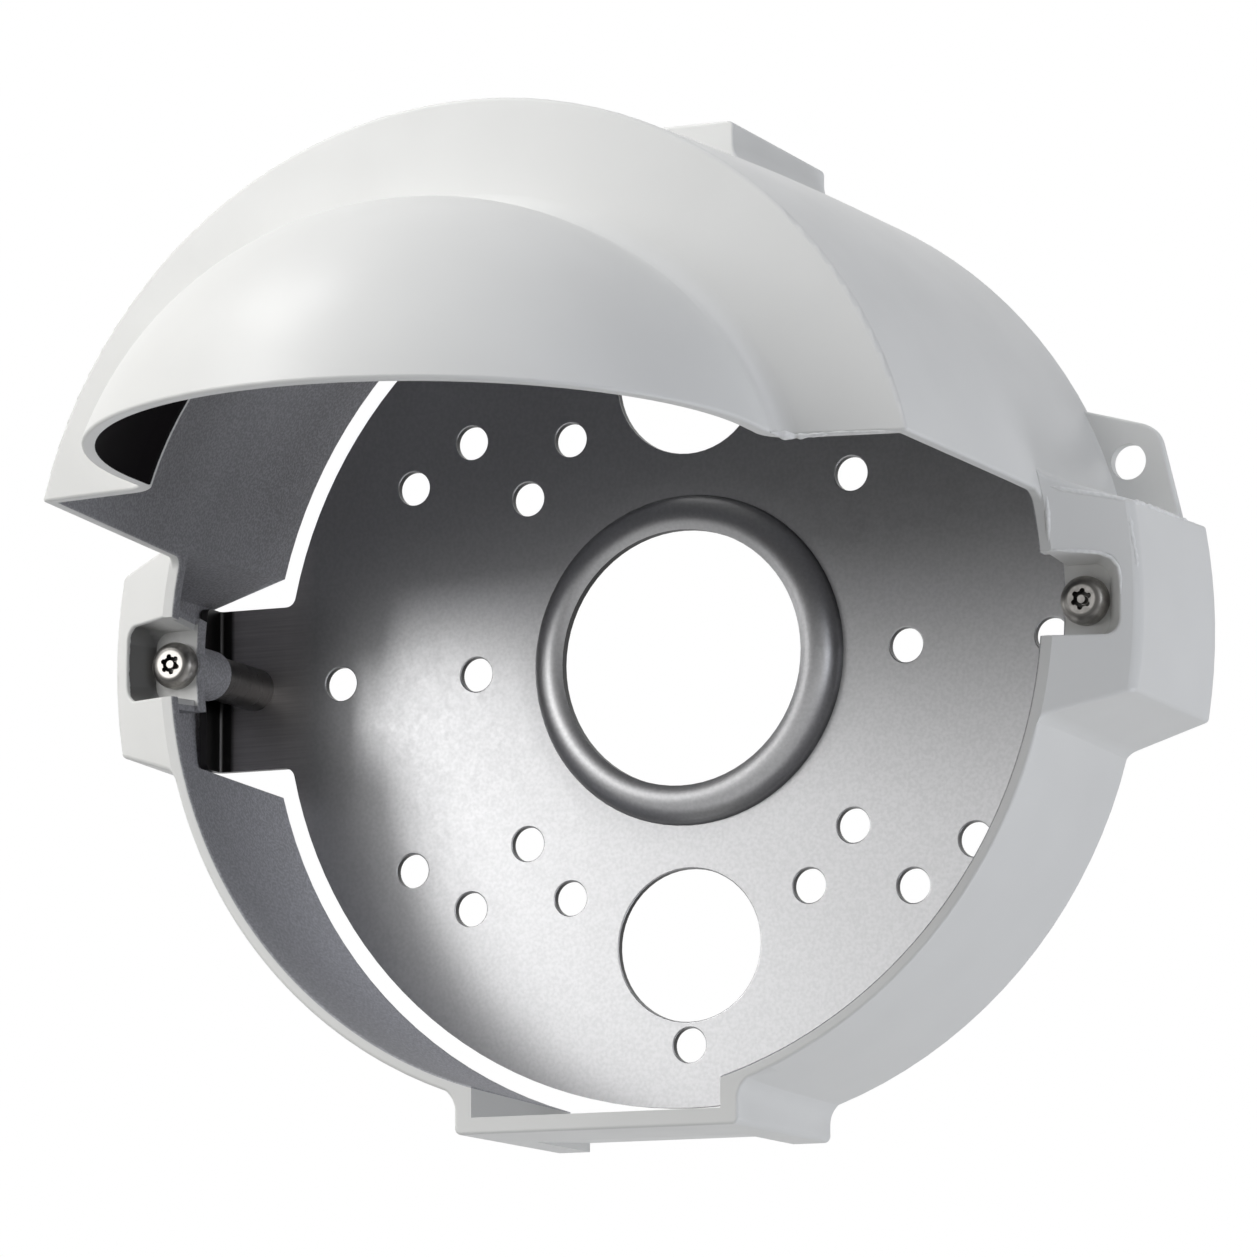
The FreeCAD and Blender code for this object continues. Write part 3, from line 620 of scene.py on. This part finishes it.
def ridge_tree():
    """Geometry Nodes that turn lines into ragged ridges."""
    tree = bpy.data.node_groups.new("ragged_ridges", "GeometryNodeTree")
    for name, kind in (("Geometry", "Geometry"), ("Width", "Float"), ("Spacing", "Float"),
                       ("Seed", "Float"), ("Material", "Material")):
        tree.interface.new_socket(name, in_out="INPUT", socket_type=f"NodeSocket{kind}")
    tree.interface.new_socket("Geometry", in_out="OUTPUT", socket_type="NodeSocketGeometry")
    add, join = tree.nodes.new, tree.links.new
    start, end = add("NodeGroupInput"), add("NodeGroupOutput")

    def value(operation, *terms):
        return math_node(tree, operation, *terms)

    def carried(name):
        node = add("GeometryNodeInputNamedAttribute")
        node.data_type = "FLOAT"
        node.inputs["Name"].default_value = name
        return node.outputs["Attribute"]

    line = add("GeometryNodeMeshToCurve")
    join(start.outputs["Geometry"], line.inputs["Mesh"])
    even = add("GeometryNodeResampleCurve")
    even.mode = "LENGTH"
    join(line.outputs["Curve"], even.inputs["Curve"])
    join(start.outputs["Spacing"], even.inputs["Length"])

    noise = add("ShaderNodeTexNoise")
    noise.noise_dimensions = "4D"
    noise.inputs["Scale"].default_value = FLASH_LUMPS
    noise.inputs["Detail"].default_value = LUMP_DETAIL
    join(start.outputs["Seed"], noise.inputs["W"])
    join(add("GeometryNodeInputPosition").outputs["Position"], noise.inputs["Vector"])
    wave = value("MULTIPLY", value("SUBTRACT", noise.outputs["Fac"], 0.5), LUMP_REACH)
    lump = value("MAXIMUM", value("ADD", value("MULTIPLY", wave, carried("ragged")), 1.0), LEAST_LUMP)

    ring = add("GeometryNodeCurvePrimitiveCircle")
    ring.inputs["Resolution"].default_value = RIDGE_SIDES
    join(value("MULTIPLY", start.outputs["Width"], 0.5), ring.inputs["Radius"])
    tube = add("GeometryNodeCurveToMesh")
    join(even.outputs["Curve"], tube.inputs["Curve"])
    join(ring.outputs["Curve"], tube.inputs["Profile Curve"])
    join(value("MULTIPLY", lump, carried("thick")), tube.inputs["Scale"])
    tube.inputs["Fill Caps"].default_value = True
    smooth = add("GeometryNodeSetShadeSmooth")
    join(tube.outputs["Mesh"], smooth.inputs["Geometry"])
    whole = add("GeometryNodeRealizeInstances")
    join(smooth.outputs["Geometry"], whole.inputs["Geometry"])
    coat = add("GeometryNodeSetMaterial")
    join(whole.outputs["Geometry"], coat.inputs["Geometry"])
    join(start.outputs["Material"], coat.inputs["Material"])
    join(coat.outputs["Geometry"], end.inputs["Geometry"])
    return tree


def added(name, data, place=(0.0, 0.0, 0.0)):
    """A new object in the scene."""
    piece = bpy.data.objects.new(name, data)
    piece.location = place
    bpy.context.scene.collection.objects.link(piece)
    return piece


def grown_piece(name, lines, tree, inputs):
    """A piece with the plain mesh that a tree makes from lines."""
    piece = added(name, lines)
    modifier = piece.modifiers.new(name, "NODES")
    modifier.node_group = tree
    for socket in tree.interface.items_tree:
        if socket.in_out == "INPUT" and socket.name in inputs:
            modifier[socket.identifier] = inputs[socket.name]
    ready = piece.evaluated_get(bpy.context.evaluated_depsgraph_get())
    mesh = bpy.data.meshes.new_from_object(ready)
    piece.modifiers.clear()
    piece.data = mesh
    if not mesh.polygons:
        raise RuntimeError(f"{name} came out empty")
    return piece


# Studio

WARM = (1.0, 0.998, 0.99)
COOL = (0.90, 0.93, 1.0)

# Each lamp's name, place, width and colour. Its power is in the settings.
LAMPS = (
    ("key", (-0.85, -1.05, 0.95), 0.7, WARM),
    ("left", (-1.4, -0.5, 0.2), 0.7, WARM),
    ("top", (-0.735, -0.337, 1.32), 0.5, WARM),
    ("high", (1.0, -0.3, 1.1), 0.7, COOL),
    ("side", (1.3, -0.7, 0.25), 0.7, COOL),
    ("low", (0.9, 0.3, -0.75), 0.5, COOL),
    ("sheen", (-0.96, -1.26, 0.25), 0.5, WARM),
)

# The point that the lamps face, the camera's sensor in millimetres and how far it sees, and the floor
MIDDLE = (0.0, -0.06, 0.0)
SENSOR_WIDTH = 36.0
SIGHT = 50.0
FLOOR_HALF = 4.0
FLOOR_COLOUR = (0.8, 0.8, 0.8)
FLOOR_ROUGHNESS = 0.8


def add_camera(settings):
    data = bpy.data.cameras.new("camera")
    data.lens = settings.lens
    data.sensor_width = SENSOR_WIDTH
    data.clip_end = SIGHT
    camera = added("camera", data, settings.camera_place)
    turn = Euler((math.pi / 2 + settings.camera_tilt, 0.0, settings.camera_turn), "XYZ").to_matrix()
    roll = Euler((0.0, 0.0, settings.camera_roll), "XYZ").to_matrix()
    camera.rotation_euler = (turn @ roll).to_euler()
    bpy.context.scene.camera = camera


def add_lamp(name, place, width, colour, power):
    """A square soft lamp that faces the object's middle."""
    light = bpy.data.lights.new(name, "AREA")
    light.shape = "SQUARE"
    light.size = width
    light.energy = power
    light.color = colour
    lamp = added(name, light, place)
    lamp.rotation_euler = (Vector(MIDDLE) - Vector(place)).to_track_quat("-Z", "Y").to_euler()


def seen_strength(tree, otherwise, seen):
    """One strength for rays that see it, directly or in metal or glass, and another for the rest."""
    path = tree.nodes.new("ShaderNodeLightPath").outputs
    either = math_node(tree, "MAXIMUM", path["Is Camera Ray"], path["Is Glossy Ray"])
    strength = tree.nodes.new("ShaderNodeMapRange")
    strength.inputs["To Min"].default_value = otherwise
    strength.inputs["To Max"].default_value = seen
    sees = math_node(tree, "MAXIMUM", either, path["Is Transmission Ray"])
    tree.links.new(sees, strength.inputs["Value"])
    return strength.outputs["Result"]


def add_surroundings(settings):
    """White to the eye and in reflections, and a dim even light otherwise."""
    world = bpy.data.worlds.new("surroundings")
    bpy.context.scene.world = world
    world.use_nodes = True
    tree = world.node_tree
    tree.nodes.clear()
    white = tree.nodes.new("ShaderNodeBackground")
    white.inputs["Color"].default_value = shade(WHITE)
    tree.links.new(seen_strength(tree, settings.ambient, 1.0), white.inputs["Strength"])
    output = tree.nodes.new("ShaderNodeOutputWorld")
    tree.links.new(white.outputs["Background"], output.inputs["Surface"])


def pale_floor(settings):
    """A pale matt floor that keeps the object's shadow."""
    shader = Shader("pale_floor")
    surface = shader.surface.inputs
    surface["Base Color"].default_value = shade(FLOOR_COLOUR)
    surface["Roughness"].default_value = FLOOR_ROUGHNESS
    surface["Emission Color"].default_value = shade(WHITE)
    shader.join(seen_strength(shader.tree, 0.0, settings.floor_paleness), surface["Emission Strength"])
    return shader.material


def add_floor(settings):
    bottom = cad_bounds[0][2] - settings.floor_drop
    corners = [(across * FLOOR_HALF, along * FLOOR_HALF, bottom)
               for across, along in ((-1, -1), (1, -1), (1, 1), (-1, 1))]
    mesh = bpy.data.meshes.new("floor")
    mesh.from_pydata(corners, [], [(0, 1, 2, 3)])
    mesh.materials.append(pale_floor(settings))
    floor = added("floor", mesh)


# Operators

def dress(node, material):
    """Gives a node, whose shape stays as it is, a finished material."""
    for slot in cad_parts[node].material_slots:
        slot.material = material


class SHROUD_OT_stage(bpy.types.Operator):
    """Set the camera, the lamps, the floor and the backdrop"""
    bl_idname = "shroud.stage"
    bl_label = "Studio"

    def execute(self, context):
        settings = context.scene.stage_settings
        context.scene.view_settings.view_transform = "Standard"
        add_camera(settings)
        add_surroundings(settings)
        for name, place, width, colour in LAMPS:
            add_lamp(name, place, width, colour, getattr(settings, f"{name}_power"))
        add_floor(settings)
        return {"FINISHED"}


class SHROUD_OT_moulding(bpy.types.Operator):
    """Give the shroud its moulded plastic finish"""
    bl_idname = "shroud.moulding"
    bl_label = "Shroud moulding"

    def execute(self, context):
        dress("shroud", moulded_plastic(context.scene.shroud_settings))
        return {"FINISHED"}


class SHROUD_OT_flash(bpy.types.Operator):
    """Make the pale ridges along the shroud's edges: moulding flash and painted highlights"""
    bl_idname = "shroud.flash"
    bl_label = "Moulding flash"

    def execute(self, context):
        settings = context.scene.flash_settings
        inputs = {"Width": settings.width, "Spacing": settings.spacing, "Seed": FLASH_SEED,
                  "Material": thin_plastic(settings)}
        piece = grown_piece("moulding_flash", ridge_lines(), ridge_tree(), inputs)
        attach(piece, "root")
        return {"FINISHED"}


class SHROUD_OT_plate(bpy.types.Operator):
    """Give the mounting plate its satin steel finish"""
    bl_idname = "shroud.plate"
    bl_label = "Mounting plate"

    def execute(self, context):
        dress("mounting_plate", satin_sheet(context.scene.plate_settings))
        return {"FINISHED"}


class SHROUD_OT_fasteners(bpy.types.Operator):
    """Give the screws and the standoffs their steel finishes"""
    bl_idname = "shroud.fasteners"
    bl_label = "Screws and standoffs"

    def execute(self, context):
        settings = context.scene.fastener_settings
        bright, dark = screw_steel(settings), turned_steel(settings)
        for side in ("right", "left"):
            dress(f"screw_{side}", bright)
            dress(f"standoff_{side}", dark)
        return {"FINISHED"}


class SHROUD_PT_panel(bpy.types.Panel):
    """Buttons that dress the camera shroud"""
    bl_idname = "SHROUD_PT_panel"
    bl_label = "Camera shroud"
    bl_space_type = "VIEW_3D"
    bl_region_type = "UI"
    bl_category = "Shroud"

    def draw(self, context):
        for operator in OPERATORS:
            self.layout.operator(operator.bl_idname)


OPERATORS = (SHROUD_OT_stage, SHROUD_OT_moulding, SHROUD_OT_flash, SHROUD_OT_plate, SHROUD_OT_fasteners)
GROUPS = {
    "shroud_settings": ShroudSettings,
    "flash_settings": FlashSettings,
    "plate_settings": PlateSettings,
    "fastener_settings": FastenerSettings,
    "stage_settings": StageSettings,
}


def register():
    for name, group in GROUPS.items():
        bpy.utils.register_class(group)
        setattr(bpy.types.Scene, name, PointerProperty(type=group))
    for operator in OPERATORS:
        bpy.utils.register_class(operator)
    bpy.utils.register_class(SHROUD_PT_panel)


def unregister():
    bpy.utils.unregister_class(SHROUD_PT_panel)
    for operator in reversed(OPERATORS):
        bpy.utils.unregister_class(operator)
    for name, group in GROUPS.items():
        delattr(bpy.types.Scene, name)
        bpy.utils.unregister_class(group)


def main():
    register()
    bpy.ops.shroud.stage()
    bpy.ops.shroud.moulding()
    bpy.ops.shroud.flash()
    bpy.ops.shroud.plate()
    bpy.ops.shroud.fasteners()


if __name__ == "__main__":
    main()
